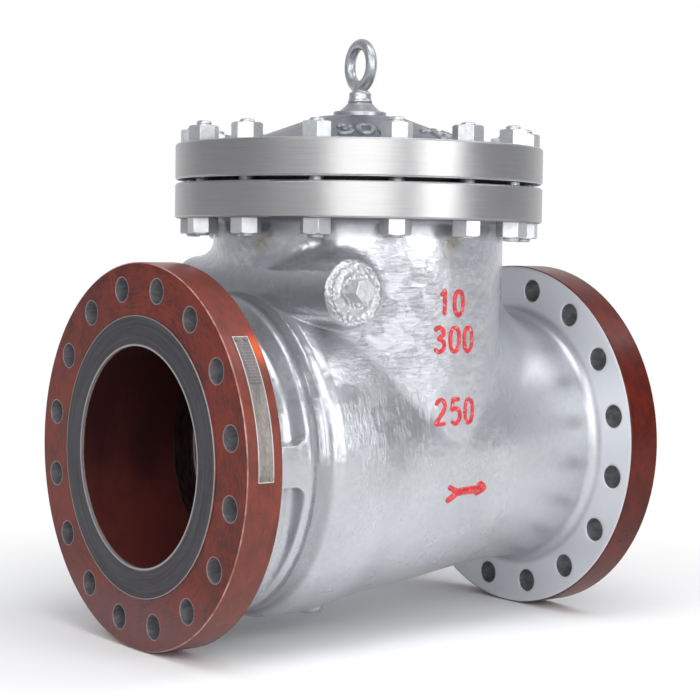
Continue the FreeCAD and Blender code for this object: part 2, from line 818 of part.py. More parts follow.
def cover_nuts(base, height_sign):
    """One row of nuts that bear on the cover or under the body's flange."""
    nuts = []
    for i, place in enumerate(stud_places()):
        nut = chamfered_hex(nut_across_flats, nut_height, nut_corner_chamfer, False)
        nut = nut.cut(rod(stud_d, Vector(0, 0, -1), Z_AXIS, nut_height + 2))
        nut.rotate(Vector(0, 0, 0), Z_AXIS, (37 * i) % 60)
        if height_sign < 0:
            nut.rotate(Vector(0, 0, 0), X_AXIS, 180)
        nut.translate(place + Vector(0, 0, base))
        nuts.append(nut)
    return Part.makeCompound(nuts)


def lifting_eye():
    """The eye's ring, with a many sided section, and the middle height it stands at."""
    section_r = eye_section_d / 2
    ring_r = eye_inner_d / 2 + section_r
    height = lift_seat + eye_collar_height + eye_stem_height + ring_r
    points = []
    for i in range(eye_section_sides):
        turn = 2 * math.pi * i / eye_section_sides
        points.append(Vector(ring_r + section_r * math.cos(turn), 0, section_r * math.sin(turn)))
    eye = Part.Face(Part.makePolygon(points + points[:1])).revolve(Vector(0, 0, 0), Z_AXIS, 360)
    eye.rotate(Vector(0, 0, 0), X_AXIS, 90)
    eye.rotate(Vector(0, 0, 0), Z_AXIS, eye_turn)
    eye.translate(Vector(neck_offset, 0, height))
    return eye


def lifting_eye_bolt():
    """The forged eye bolt screwed into the cover's boss."""
    collar_r = eye_collar_d / 2
    stem_r = eye_stem_d / 2
    top = lift_seat + eye_collar_height
    stem_top = top + eye_stem_height
    bolt = turned_neck([
        (0, lift_seat - eye_shank_length + 1),
        (eye_shank_d / 2, lift_seat - eye_shank_length + 1),
        (eye_shank_d / 2, lift_seat),
        (collar_r + 1, lift_seat),
        (collar_r + 1, lift_seat + 2),
        (collar_r - 1, lift_seat + 4),
        (collar_r - 1, top - 2),
        (stem_r, top),
        (stem_r * 0.8, stem_top),
        (0, stem_top)])
    return bolt.fuse(lifting_eye())


def strap(low_r, high_r):
    """The nameplate strap between two radii about the flow axis."""
    angles = (plate_low_angle, plate_high_angle)
    outline = [Vector(plate_start, 0, low_r), Vector(plate_start + plate_width, 0, low_r),
               Vector(plate_start + plate_width, 0, high_r), Vector(plate_start, 0, high_r)]
    face = Part.Face(Part.makePolygon(outline + outline[:1]))
    face.rotate(Vector(0, 0, 0), X_AXIS, 90 - angles[0])
    return face.revolve(Vector(0, 0, 0), X_AXIS, angles[0] - angles[1])


def nameplate():
    """The blank strap riveted to the inlet flange's rim."""
    low_r = flange_od / 2
    plate = strap(low_r, low_r + plate_thickness)
    return plate.cut(rivet_rods(rivet_d, low_r - 1, low_r + plate_thickness + 1))


def nameplate_rivets():
    """The four rivets that hold the strap."""
    face = flange_od / 2 + plate_thickness
    shanks = rivet_rods(rivet_d, flange_od / 2 - rivet_depth + 0.5, face)
    heads = rivet_rods(rivet_head_d, face, face + rivet_head_height)
    return Part.makeCompound([shank.fuse(head) for shank, head in zip(shanks, heads)])


def build_nodes():
    """Every node of the valve by name."""
    return {
        "valve_body": valve_body(),
        "seat_ring": seat_ring(),
        "disc": disc(),
        "disc_washer": disc_washer(),
        "disc_nut": disc_nut(),
        "disc_split_pin": split_pin(),
        "hinge_arm": hinge_arm(),
        "arm_bush_near": arm_bush(hub_starts()[0]),
        "arm_bush_far": arm_bush(hub_starts()[1]),
        "hinge_pin": hinge_pin(),
        "pin_plug": pin_plug(),
        "plug_weld": plug_weld(),
        "cover": cover(),
        "cover_gasket": cover_gasket(),
        "cover_studs": cover_studs(),
        "upper_nuts": cover_nuts(cover_top, 1),
        "lower_nuts": cover_nuts(body_flange_base, -1),
        "lifting_eye_bolt": lifting_eye_bolt(),
        "nameplate": nameplate(),
        "nameplate_rivets": nameplate_rivets(),
    }


if __name__ == "__main__":
    os.makedirs("parts", exist_ok=True)
    for name, shape in build_nodes().items():
        shape.exportStep("parts/" + name + ".step")
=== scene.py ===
"""Looks, light and camera for the swing non-return valve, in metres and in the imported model's own frame."""

import math
from types import SimpleNamespace

import bmesh
import bpy
from mathutils import Matrix, Vector, noise
from mathutils.bvhtree import BVHTree


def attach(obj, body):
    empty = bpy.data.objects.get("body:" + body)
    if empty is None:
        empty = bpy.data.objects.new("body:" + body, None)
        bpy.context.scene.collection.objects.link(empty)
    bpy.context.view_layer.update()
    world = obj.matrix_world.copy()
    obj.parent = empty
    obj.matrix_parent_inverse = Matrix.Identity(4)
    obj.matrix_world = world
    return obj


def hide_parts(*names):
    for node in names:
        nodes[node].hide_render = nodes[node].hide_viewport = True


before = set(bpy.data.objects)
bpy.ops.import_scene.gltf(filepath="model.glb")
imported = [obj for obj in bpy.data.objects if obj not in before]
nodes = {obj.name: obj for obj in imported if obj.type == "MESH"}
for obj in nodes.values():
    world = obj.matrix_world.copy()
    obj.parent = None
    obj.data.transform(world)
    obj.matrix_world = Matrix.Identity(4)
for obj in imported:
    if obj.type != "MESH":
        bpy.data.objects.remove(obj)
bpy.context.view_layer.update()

# Places taken from the CAD, in metres
NECK_X = 0.3134
PIN_X = 0.1684
PIN_Z = 0.1945
HOUSING_Z = 0.191
HOUSING_R = 0.0385
HOUSING_END = 0.180
PLUG_R = 0.020
FLANGE_R = 0.2225
PORT_R = 0.127
RAISED_R = 0.1619
HOLE_CIRCLE_R = 0.1937
FLANGE_HOLES = 16
HOLE_R = 0.0142
OUTLET_HOLE_R = 0.0144
INLET_BACK = 0.0462
OUTLET_BACK = 0.5726
OUTLET_PLANE = 0.6188
COVER_FLANGE_BASE_Z = 0.2754
COVER_BASE_Z = 0.3222
COVER_TOP_Z = 0.3658
COVER_RIM_R = 0.2255
LIFT_SEAT_Z = 0.4203
DOME_BOSS_Z = 0.4033
EYE_Z = 0.466
STUD_R = 0.0095
STUD_CIRCLE_R = 0.2035
STUDS = 14
NUT_HEIGHT = 0.0186
THREAD_PITCH = 0.00254
THREAD_DEPTH = 0.0011
HIDDEN_THREAD_DEPTH = 0.0006
THREAD_SHOWN = 0.032
EYE_RING_R = 0.026
EYE_TURN = math.radians(82.5)
PLATE_LEFT = 0.0134
PLATE_RIGHT = 0.0334
PLATE_LOW_ANGLE = math.radians(-2.0)
PLATE_HIGH_ANGLE = math.radians(40.5)
SEAT_FACE_X = 0.158
DISC_BACK_X = 0.1848
DISC_STUD_R = 0.0165
DISC_LAND_R = 0.1245

# The middle of the casting's walls, which parts the inside's finish from the outside's
BRIDGE_X = 0.150
INLET_WALL_R = 0.146
OUTLET_WALL_R = 0.142
CHAMBER_WALL_R = 0.2025
CHAMBER_TAPER = 0.1163
NECK_WALL_R = 0.166
NECK_LOW_Z = 0.10

# Places of details that only the finish shows
EDGE = 0.0004
GROOVE_X = 0.1240
CREASE_SUM = 0.338
TURNED_FROM, TURNED_TO = 0.42, 0.47
STAINS = ((0.140, -0.040, 0.2465), (0.3155, -0.178, 0.2495))

# The photograph's frame, in pixels, and the camera at its place
FRAME_PIXELS = 700.0
SENSOR_WIDTH = 36.0
CAMERA_AT = Vector((-1.11804, -1.85398, 0.23798))
CAMERA_AZIMUTH = 52.52
CAMERA_ELEVATION = -2.981
CAMERA_ROLL = -0.853
CAMERA_LENS = 97.346


class Wire:
    """A shader value that takes part in sums, so that masks read as formulas."""

    def __init__(self, graph, socket):
        self.graph = graph
        self.socket = socket

    def __add__(self, other):
        return self.graph.math("ADD", self, other)

    def __radd__(self, other):
        return self.graph.math("ADD", other, self)

    def __sub__(self, other):
        return self.graph.math("SUBTRACT", self, other)

    def __rsub__(self, other):
        return self.graph.math("SUBTRACT", other, self)

    def __mul__(self, other):
        return self.graph.math("MULTIPLY", self, other)

    def __rmul__(self, other):
        return self.graph.math("MULTIPLY", other, self)


class Graph:
    """Builds one material's nodes."""

    def __init__(self, name):
        self.material = bpy.data.materials.new(name)
        self.material.use_nodes = True
        self.tree = self.material.node_tree
        self.tree.nodes.clear()
        self.place = self.node("ShaderNodeTexCoord").outputs["Object"]
        split = self.node("ShaderNodeSeparateXYZ")
        self.link(self.place, split.inputs[0])
        self.x, self.y, self.z = [Wire(self, s) for s in split.outputs]

    def node(self, kind):
        return self.tree.nodes.new(kind)

    def link(self, source, target):
        self.tree.links.new(source, target)

    def feed(self, value, socket):
        """Links a wire, or sets a plain number or colour."""
        if isinstance(value, Wire):
            self.link(value.socket, socket)
        elif value is not None:
            socket.default_value = value

    def math(self, operation, a, b=None):
        step = self.node("ShaderNodeMath")
        step.operation = operation
        self.feed(a, step.inputs[0])
        self.feed(b, step.inputs[1])
        return Wire(self, step.outputs[0])

    def ramp(self, value, low, high):
        """0 below low, 1 above high, smooth between; high may be the lower of the two."""
        step = self.node("ShaderNodeMapRange")
        step.interpolation_type = "SMOOTHSTEP"
        flip = low > high
        self.feed(value, step.inputs["Value"])
        step.inputs["From Min"].default_value = min(low, high)
        step.inputs["From Max"].default_value = max(low, high)
        step.inputs["To Min"].default_value = 1.0 if flip else 0.0
        step.inputs["To Max"].default_value = 0.0 if flip else 1.0
        return Wire(self, step.outputs["Result"])

    def over(self, value, edge, soft=0.0003):
        """1 above an edge."""
        return self.ramp(value, edge - soft, edge + soft)

    def under(self, value, edge, soft=0.0003):
        """1 below an edge."""
        return self.ramp(value, edge + soft, edge - soft)

    def between(self, value, low, high, soft=0.0003):
        return self.over(value, low, soft) * self.under(value, high, soft)

    def length(self, a, b):
        """The length of the diagonal over two distances."""
        return self.math("SQRT", a * a + b * b)

    def stretched(self, scales):
        """The object's coordinates, scaled per axis."""
        scale = self.node("ShaderNodeMapping")
        self.link(self.place, scale.inputs["Vector"])
        scale.inputs["Scale"].default_value = scales
        return scale.outputs["Vector"]

    def noise(self, scale, detail=4.0, rough=0.55, scales=None, vector=None, distort=0.0):
        step = self.node("ShaderNodeTexNoise")
        source = vector or (self.stretched(scales) if scales else self.place)
        self.link(source, step.inputs["Vector"])
        step.inputs["Scale"].default_value = scale
        step.inputs["Detail"].default_value = detail
        step.inputs["Roughness"].default_value = rough
        step.inputs["Distortion"].default_value = distort
        return Wire(self, step.outputs["Fac"])

    def combine(self, x, y, z):
        """A place to read a noise at, from three numbers."""
        step = self.node("ShaderNodeCombineXYZ")
        self.feed(x, step.inputs[0])
        self.feed(y, step.inputs[1])
        self.feed(z, step.inputs[2])
        return step.outputs[0]

    def mix(self, amount, a, b):
        """Mixes two colours by an amount from 0 to 1."""
        step = self.node("ShaderNodeMix")
        step.data_type = "RGBA"
        self.feed(amount, step.inputs["Factor"])
        self.feed(rgb(a), step.inputs["A"])
        self.feed(rgb(b), step.inputs["B"])
        return Wire(self, step.outputs["Result"])

    def blend(self, amount, a, b):
        """Mixes two numbers by an amount from 0 to 1."""
        step = self.node("ShaderNodeMix")
        step.data_type = "FLOAT"
        self.feed(amount, step.inputs["Factor"])
        self.feed(a, step.inputs["A"])
        self.feed(b, step.inputs["B"])
        return Wire(self, step.outputs["Result"])

    def layered(self, base, layers):
        """Lays finishes over a base of colour, metal, roughness and height; None leaves that value as it is."""
        looks = list(base)
        for mask, *values in layers:
            for n, value in enumerate(values):
                if value is not None:
                    join = self.mix if n == 0 else self.blend
                    looks[n] = join(mask, looks[n], value)
        return looks

    def finish(self, color, metallic, roughness, height, depth, gloss=0.5, rounding=0.0):
        """Ends the material in a principled shader; height is in units of depth metres."""
        shader = self.node("ShaderNodeBsdfPrincipled")
        output = self.node("ShaderNodeOutputMaterial")
        self.link(shader.outputs[0], output.inputs["Surface"])
        self.feed(rgb(color), shader.inputs["Base Color"])
        self.feed(metallic, shader.inputs["Metallic"])
        self.feed(roughness, shader.inputs["Roughness"])
        shader.inputs["Specular IOR Level"].default_value = gloss
        bump = self.node("ShaderNodeBump")
        bump.inputs["Distance"].default_value = depth
        bump.inputs["Strength"].default_value = 1.0
        self.feed(height, bump.inputs["Height"])
        self.link(bump.outputs[0], shader.inputs["Normal"])
        if rounding:
            bevel = self.node("ShaderNodeBevel")
            bevel.samples = 6
            self.feed(rounding, bevel.inputs["Radius"])
            self.link(bevel.outputs[0], bump.inputs["Normal"])
        return self.material


def rgb(color):
    """Adds the alpha to a plain colour and leaves wires as they are."""
    if isinstance(color, tuple) and len(color) == 3:
        return color + (1.0,)
    return color


# Colours of the paints and metals, and of the painted shade and light
SILVER_DARK = (0.47, 0.48, 0.505)
SILVER_LIGHT = (0.56, 0.57, 0.60)
SILVER_GROOVE_SHADE = (0.23, 0.235, 0.25)
SILVER_SHADE_BELOW_CREASE = (0.27, 0.275, 0.285)
SILVER_BACK_FACE_LIT = (0.66, 0.675, 0.71)
SILVER_SHADE_UNDER_COVER = (0.17, 0.175, 0.19)
STAIN = (0.33, 0.27, 0.17)
RIM_DARK = (0.355, 0.352, 0.355)
RIM_LIGHT = (0.395, 0.392, 0.395)
VARNISH_DARK = (0.060, 0.008, 0.005)
VARNISH_LIGHT = (0.160, 0.018, 0.009)
VARNISH_WIPED = (0.250, 0.100, 0.080)
VARNISH_FLOOR_SHEEN = (0.165, 0.100, 0.105)
VARNISH_HIGHLIGHT = (0.55, 0.075, 0.012)
VARNISH_WORN = (0.56, 0.34, 0.31)
VARNISH_OUTLET = (0.060, 0.006, 0.003)
PRIMER_DARK = (0.027, 0.007, 0.007)
PRIMER_LIGHT = (0.074, 0.016, 0.014)
BARE_DARK = (0.048, 0.044, 0.050)
BARE_LIGHT = (0.085, 0.082, 0.092)
BARE_EDGE_HIGHLIGHT = (0.62, 0.61, 0.60)
LIP_DARK = (0.30, 0.28, 0.27)
LIP_LIGHT = (0.70, 0.67, 0.65)
HOLE_DARK = (0.17, 0.17, 0.18)
HOLE_LIGHT = (0.30, 0.30, 0.32)
HOLE_RIM_HIGHLIGHT = (0.50, 0.46, 0.44)


def silver_color(g, low=SILVER_DARK, high=SILVER_LIGHT):
    """Aluminium paint that lies thicker in some places than in others."""
    broad = g.noise(9.0, 3.0, 0.5)
    fine = g.noise(160.0, 3.0, 0.6)
    return g.mix(g.ramp(broad * 0.6 + fine * 0.4, 0.30, 0.68), low, high)


def cast_height(g):
    """The skin of a sand casting under paint: broad waves, lumps and fine grain."""
    waves = g.noise(30.0, 2.0, 0.5)
    lumps = g.noise(120.0, 3.0, 0.5, distort=0.4)
    grain = g.noise(620.0, 2.0, 0.6)
    return waves * 1.5 + lumps * 0.28 + grain * 0.05


def crinkles(g):
    """Short crinkles in the skin, in patches near the pin housing and on the barrel."""
    flat = g.noise(150.0, 5.0, 0.62, scales=(0.45, 0.45, 1.6), distort=1.3)
    upright = g.noise(120.0, 5.0, 0.62, scales=(1.7, 0.6, 0.5), distort=1.1)
    near_side = g.under(g.y, -0.03, 0.03)
    near_boss = g.ramp(g.length(g.x - 0.245, g.z - 0.155), 0.115, 0.03) * near_side
    on_barrel = g.ramp(g.length(g.x - 0.215, g.z - 0.03), 0.11, 0.03) * near_side
    everywhere = g.ramp(g.noise(11.0, 2.0, 0.5), 0.56, 0.70) * 0.5
    patches = g.ramp(g.noise(46.0, 3.0, 0.6, distort=0.6), 0.42, 0.60)
    level = near_boss * (patches * 2.3 + 1.3) + everywhere
    return (flat - 0.5) * level + (upright - 0.5) * on_barrel * (patches * 1.3 + 0.5)


def crease(g):
    """The line where the neck's blend runs out on the barrel, and the mask of a painted shade on the barrel below
    it.
    """
    off = (g.x + g.z - CREASE_SUM) * math.sqrt(0.5)
    along = g.x - g.z
    near = g.under(g.y, -0.05, 0.02)
    line = g.ramp(g.math("ABSOLUTE", off), 0.013, 0.0) * g.between(along, 0.02, 0.215, 0.03) * near
    # Painted shade: where the barrel below the crease is darkened.
    below = g.ramp(off, 0.002, -0.009) * g.ramp(off, -0.14, -0.05) * g.between(along, -0.01, 0.25, 0.03) * near
    return line, below * g.over(g.x, 0.156, 0.006)


def casting_zones(g):
    """Where the casting's finishes and its painted shade and light lie, as masks from 0 to 1, with the distances
    that they come from.
    """
    r = g.length(g.y, g.z)
    around = g.math("ARCTAN2", g.z, g.y)
    from_neck = g.length(g.x - NECK_X, g.y)
    hole_turn = around * (FLANGE_HOLES / (2.0 * math.pi)) + 2.0 * FLANGE_HOLES
    off_hole = (g.math("FRACT", hole_turn) - 0.5) * (2.0 * math.pi / FLANGE_HOLES)
    from_hole = g.length(r * g.math("COSINE", off_hole) - HOLE_CIRCLE_R, r * g.math("SINE", off_hole))
    inlet = g.under(g.x, INLET_BACK - EDGE)
    outlet = g.over(g.x, OUTLET_BACK + EDGE)
    flange = inlet + outlet
    past_hole = from_hole - g.blend(outlet, HOLE_R, OUTLET_HOLE_R)
    raised = (g.under(g.x, -EDGE) + g.over(g.x, OUTLET_PLANE + EDGE)) * g.over(r, PORT_R + 0.0002)
    chamber_r = g.math("MAXIMUM", CHAMBER_WALL_R - g.x * CHAMBER_TAPER, OUTLET_WALL_R)
    wall_r = g.blend(g.over(g.x, BRIDGE_X), INLET_WALL_R, chamber_r)
    in_neck = g.under(from_neck, NECK_WALL_R) * g.over(g.z, NECK_LOW_Z)
    inside = g.math("MAXIMUM", g.under(r - wall_r, 0.0), in_neck)
    return SimpleNamespace(
        r=r,
        around=around,
        inlet=inlet,
        outlet=outlet,
        flange=flange,
        raised=raised,
        inside=inside * (1.0 - raised),
        hole=flange * g.under(past_hole, 0.0002, 0.0002),
        hole_rim=flange * g.between(past_hole, 0.0, 0.0009, 0.0004),
        machined=g.over(from_neck, COVER_RIM_R - 0.0012) * g.over(g.z, COVER_FLANGE_BASE_Z - 0.001),
        # The groove's mask also darkens the silver there, as painted shade.
        groove=g.ramp(g.math("ABSOLUTE", g.x - GROOVE_X), 0.016, 0.004),
        back_face=g.between(g.x, OUTLET_BACK - 0.0016, OUTLET_BACK + EDGE, EDGE) * g.over(r, 0.170, 0.004),
        # Painted shade: the band on the neck just under the cover's flange.
        shade=g.ramp(g.z + g.noise(16.0, 2.0, 0.5) * 0.03, COVER_FLANGE_BASE_Z - 0.012, COVER_FLANGE_BASE_Z + 0.012),
        turned_end=g.ramp(g.x, TURNED_FROM, TURNED_TO))


def casting_silver(g, zone, shade_below_crease):
    """The casting's silver paint, with painted shade in the groove, below the crease and under the cover, painted
    light on the outlet flange's back face, and two stains.
    """
    silver = silver_color(g)
    # Painted shade: the silver is darkened in the groove behind the inlet flange.
    silver = g.mix(zone.groove * 0.60, silver, SILVER_GROOVE_SHADE)
    # Painted shade on the barrel below the crease.
    silver = g.mix(shade_below_crease * 0.42, silver, SILVER_SHADE_BELOW_CREASE)
    # Painted light: the outlet flange's back face is painted a lighter silver to brighten it.
    silver = g.mix(zone.back_face, silver, SILVER_BACK_FACE_LIT)
    # Painted shade: a darker band on the neck under the cover's flange.
    silver = g.mix(zone.shade * 0.65, silver, SILVER_SHADE_UNDER_COVER)
    for x, y, z in STAINS:
        stain = g.ramp(g.length(g.length(g.x - x, g.y - y), g.z - z), 0.017, 0.004)
        silver = g.mix(stain * 0.55, silver, STAIN)
    return silver


def varnish_color(g, zone, mottled, swept):
    """The flanges' red varnish: wiped thin and worn at the edge on the inlet's rim, darker at the outlet, with a
    painted reflection of the floor low on the inlet's face and a painted highlight on the inlet's rim.
    """
    varnish = g.mix(g.ramp(mottled * 0.55 + swept * 0.45, 0.36, 0.62), VARNISH_DARK, VARNISH_LIGHT)
    rim = g.over(zone.r, FLANGE_R - 0.0014) * zone.inlet
    wiped = g.noise(1.0, 3.0, 0.6, vector=g.combine(g.x * 420.0, zone.around * 3.0, 0.0))
    varnish = g.mix(rim * (0.15 + wiped * 0.30), varnish, VARNISH_WIPED)
    # Painted reflection: a pale floor sheen low on the inlet's face.
    floor_sheen = g.ramp(g.z, -0.12, -0.20) * (1.0 - rim) * zone.inlet
    varnish = g.mix(floor_sheen * 0.45, varnish, VARNISH_FLOOR_SHEEN)
    # Painted highlight: a bright orange streak on the inlet's rim just past the plate, and bright patches along the
    # rim.
    past_plate = (g.math("ARCTAN2", g.z, 0.0 - g.y) - 0.64) * (FLANGE_R * 0.55)
    rim_highlight = g.ramp(g.length(g.x - 0.040, past_plate), 0.016, 0.002)
    rim_highlight = rim_highlight + g.ramp(g.noise(14.0, 3.0, 0.6, distort=0.5), 0.66, 0.80) * 0.5
    varnish = g.mix(rim_highlight * rim * 0.8, varnish, VARNISH_HIGHLIGHT)
    worn = g.over(zone.r, FLANGE_R - 0.0013, 0.0002) * g.under(g.x, 0.0014)
    worn = worn * (g.ramp(g.noise(45.0, 3.0, 0.6), 0.36, 0.60) * 0.5 + 0.25)
    varnish = g.mix(worn * 0.85, varnish, VARNISH_WORN)
    return g.mix(zone.outlet * 0.55, varnish, VARNISH_OUTLET)


def turned_rim(g):
    """The brushed rims at the cover's joint: their colour, metal, roughness and height."""
    streak = g.noise(90.0, 4.0, 0.6, scales=(0.2, 0.2, 9.0))
    color = g.mix(g.ramp(streak, 0.25, 0.75), RIM_DARK, RIM_LIGHT)
    brushed = g.noise(1.0, 3.0, 0.6, vector=g.combine(g.x * 22.0, g.y * 22.0, g.z * 1400.0))
    return color, 0.92, 0.28 + streak * 0.08, brushed * 0.045 + g.noise(30.0, 2.0, 0.5) * 0.25


def valve_body_material():
    """One material for the whole casting, whose finish changes from place to place."""
    g = Graph("valve_body_finish")
    zone = casting_zones(g)
    mottled = g.noise(22.0, 5.0, 0.62, distort=0.8)
    swept = g.noise(55.0, 4.0, 0.6, vector=g.combine(zone.r * 6.0, zone.around * 0.25, g.x * 2.0))
    scratches = g.noise(70.0, 5.0, 0.65, scales=(1.0, 0.35, 1.8), distort=0.5)
    turning = g.noise(1.0, 4.0, 0.6, vector=g.combine(zone.r * 260.0, zone.around * 1.3, 0.0))
    rings = g.noise(1.0, 2.0, 0.5, vector=g.combine(zone.r * 1500.0, 0.0, zone.around * 2.0))
    lathe = g.noise(1.0, 2.0, 0.5, vector=g.combine(g.x * 900.0, zone.around * 1.5, 0.0))
    crease_line, shade_below_crease = crease(g)

    bare = g.mix(g.ramp(scratches * 0.3 + turning * 0.7, 0.34, 0.66), BARE_DARK, BARE_LIGHT)
    # Painted highlight: pale rings at the port's edge and at the raised face's outer edge.
    face_edge_highlight = g.between(zone.r, PORT_R, PORT_R + 0.0022, 0.0008) + g.over(zone.r, RAISED_R - 0.0009, 0.0005)
    bare = g.mix(face_edge_highlight * 0.55, bare, BARE_EDGE_HIGHLIGHT)
    # The bore's primer varies at random and is lighter towards the bottom, as painted light on the lower wall.
    primer_tone_and_light = g.noise(26.0, 4.0, 0.6, scales=(1.0, 1.0, 0.4)) * 0.6 + g.ramp(g.z, 0.06, -0.15) * 0.4
    primer = g.mix(g.ramp(primer_tone_and_light, 0.30, 0.66), PRIMER_DARK, PRIMER_LIGHT)
    lip = g.under(g.x - turning * 0.003, EDGE, 0.0008)
    primer = g.mix(lip * 0.8, primer, g.mix(turning, LIP_DARK, LIP_LIGHT))
    drilled = g.mix(g.ramp(scratches, 0.3, 0.7), HOLE_DARK, HOLE_LIGHT)

    cast = cast_height(g) + crinkles(g) - zone.groove * 3.6 + crease_line * 1.3
    skin = (casting_silver(g, zone, shade_below_crease),
            g.blend(zone.back_face, 0.74, 0.45),
            g.blend(zone.turned_end, 0.21 + g.noise(26.0, 3.0, 0.6) * 0.10 + zone.shade * 0.15, 0.36),
            g.blend(zone.turned_end, cast, lathe * 0.12))
    color, metal, rough, height = g.layered(skin, (
        (zone.flange, varnish_color(g, zone, mottled, swept), 0.12, 0.20 + mottled * 0.22,
         mottled * 0.10 + swept * 0.05),
        (zone.raised, bare, 0.75, 0.34 + scratches * 0.22, rings * 0.10),
        (zone.inside, primer, lip * 0.6, 0.42, swept * 0.05),
        # Painted highlight: a pale ring at the edge of each bolt hole.
        (zone.hole_rim * 0.42, HOLE_RIM_HIGHLIGHT, None, None, None),
        (zone.hole, drilled, 0.6, 0.5, None),
        (zone.machined, *turned_rim(g))))
    rounding = g.blend(g.math("MAXIMUM", zone.flange, zone.machined), 0.0055, 0.0014)
    rounding = g.blend(zone.inside, rounding, 0.0002)
    return g.finish(color, metal, rough, height, depth=0.0011, gloss=0.22, rounding=rounding)


def paint_material(name, low, high, metal, rough, lumps):
    """Silver paint over a part, with a cast or forged skin under it."""
    g = Graph(name)
    color = silver_color(g, low, high)
    roughness = rough + g.noise(90.0, 3.0, 0.6) * 0.20
    height = (g.noise(150.0, 3.0, 0.55) * 0.5 + g.noise(620.0, 2.0, 0.6) * 0.15) * lumps
    return g.finish(color, metal, roughness, height, depth=0.0010, rounding=0.0012)


def cover_material():
    """The cover: brushed rim, silver flange and a darker dome with a silver boss."""
    g = Graph("cover_finish")
    from_neck = g.length(g.x - NECK_X, g.y)
    machined = g.over(from_neck, COVER_RIM_R - 0.0012) * g.under(g.z, COVER_TOP_Z + 0.0005)
    dome_grey = g.mix(g.ramp(g.noise(18.0, 4.0, 0.6), 0.35, 0.65), (0.120, 0.128, 0.155), (0.185, 0.195, 0.225))
    boss_silver = silver_color(g, (0.30, 0.31, 0.33), (0.44, 0.45, 0.47))
    flange = (silver_color(g), 0.80, 0.30 + g.noise(90.0, 3.0, 0.6) * 0.15, cast_height(g) * 0.8)
    color, metal, rough, height = g.layered(flange, (
        (g.over(g.z, COVER_TOP_Z + 0.0012), dome_grey, 0.65, None, None),
        (g.over(g.z, DOME_BOSS_Z), boss_silver, 0.80, None, None),
        (machined, *turned_rim(g))))
    return g.finish(color, metal, rough, height, depth=0.0010, rounding=0.0012)


def arm_material():
    """Primed cast arm."""
    g = Graph("arm_finish")
    color = g.mix(g.ramp(g.noise(40.0, 4.0, 0.6), 0.35, 0.65), (0.06, 0.055, 0.055), (0.14, 0.12, 0.115))
    height = g.noise(180.0, 3.0, 0.6) * 0.6 + g.noise(620.0, 2.0, 0.6) * 0.2
    return g.finish(color, 0.35, 0.45 + g.noise(70.0, 3.0, 0.6) * 0.2, height, depth=0.0008, rounding=0.0015)


def disc_material():
    """The disc: red oxide primer with a machined land round the port and a bright stud."""
    g = Graph("disc_finish")
    r = g.length(g.y, g.z)
    streak = g.noise(30.0, 4.0, 0.62, scales=(1.0, 1.0, 0.35), distort=0.4)
    primer = g.mix(g.ramp(streak, 0.35, 0.68), (0.030, 0.008, 0.007), (0.115, 0.020, 0.014))
    bright = g.mix(g.ramp(g.noise(60.0, 3.0, 0.6), 0.3, 0.7), (0.42, 0.42, 0.43), (0.60, 0.60, 0.61))
    land = g.under(g.x, SEAT_FACE_X) * g.over(r, DISC_LAND_R)
    stud = g.over(g.x, DISC_BACK_X) * g.under(r, DISC_STUD_R)
    turned = g.math("MAXIMUM", land, stud)
    height = g.noise(140.0, 3.0, 0.6) * 0.5 + g.noise(520.0, 2.0, 0.6) * 0.2
    return g.finish(g.mix(turned, primer, bright), g.blend(turned, 0.0, 0.95), 0.34 + streak * 0.2, height,
                    depth=0.0007, rounding=0.001)


def turned_material(name, low, high, rough=0.25):
    """Turned metal with faint rings about the flow axis or the pin."""
    g = Graph(name)
    swirl = g.noise(60.0, 4.0, 0.6, scales=(6.0, 1.0, 1.0))
    color = g.mix(g.ramp(swirl, 0.3, 0.7), low, high)
    return g.finish(color, 0.95, rough + swirl * 0.18, swirl * 0.1, depth=0.0005, rounding=0.0006)


def gasket_material():
    """Graphite sheet, dull and nearly black."""
    g = Graph("gasket_finish")
    flake = g.noise(300.0, 3.0, 0.6)
    color = g.mix(g.ramp(flake, 0.35, 0.7), (0.012, 0.012, 0.014), (0.05, 0.05, 0.055))
    return g.finish(color, 0.1, 0.55 + flake * 0.2, flake * 0.3, depth=0.0005)


def plate_material():
    """The nameplate: dull grey metal, stained, with rows of plain dashes and bright worn edges."""
    g = Graph("plate_finish")
    angle = g.math("ARCTAN2", g.z, 0.0 - g.y)
    stain = g.noise(60.0, 5.0, 0.65, scales=(2.2, 1.0, 0.35), distort=0.4)
    fleck = g.noise(420.0, 3.0, 0.6, scales=(1.5, 1.0, 0.4))
    color = g.mix(g.ramp(stain * 0.6 + fleck * 0.4, 0.30, 0.70), (0.15, 0.133, 0.125), (0.33, 0.303, 0.285))
    color = g.mix(g.ramp(angle, math.radians(18.0), math.radians(34.0)) * 0.45, color, (0.10, 0.095, 0.11))
    row = angle * 62.0
    dash = g.noise(1.0, 1.0, 0.5, vector=g.combine(g.x * 1100.0, g.math("FLOOR", row) * 7.3, 0.0))
    printed = g.over(g.math("FRACT", row), 0.45, 0.1) * g.over(dash, 0.47, 0.03)
    printed = printed * g.between(g.x, PLATE_LEFT + 0.0026, PLATE_RIGHT - 0.0026, EDGE)
    printed = printed * g.between(angle, math.radians(25.0), math.radians(38.5), 0.004)
    color = g.mix(printed * 0.55, color, (0.07, 0.065, 0.075))
    sides = 1.0 - g.between(g.x, PLATE_LEFT + 0.0011, PLATE_RIGHT - 0.0011, EDGE)
    ends = 1.0 - g.between(angle, PLATE_LOW_ANGLE + 0.005, PLATE_HIGH_ANGLE - 0.005, 0.002)
    color = g.mix(g.math("MAXIMUM", sides, ends) * 0.75, color, (0.66, 0.64, 0.62))
    return g.finish(color, 0.75, 0.30 + stain * 0.25, stain * 0.35 + fleck * 0.25, depth=0.0004)


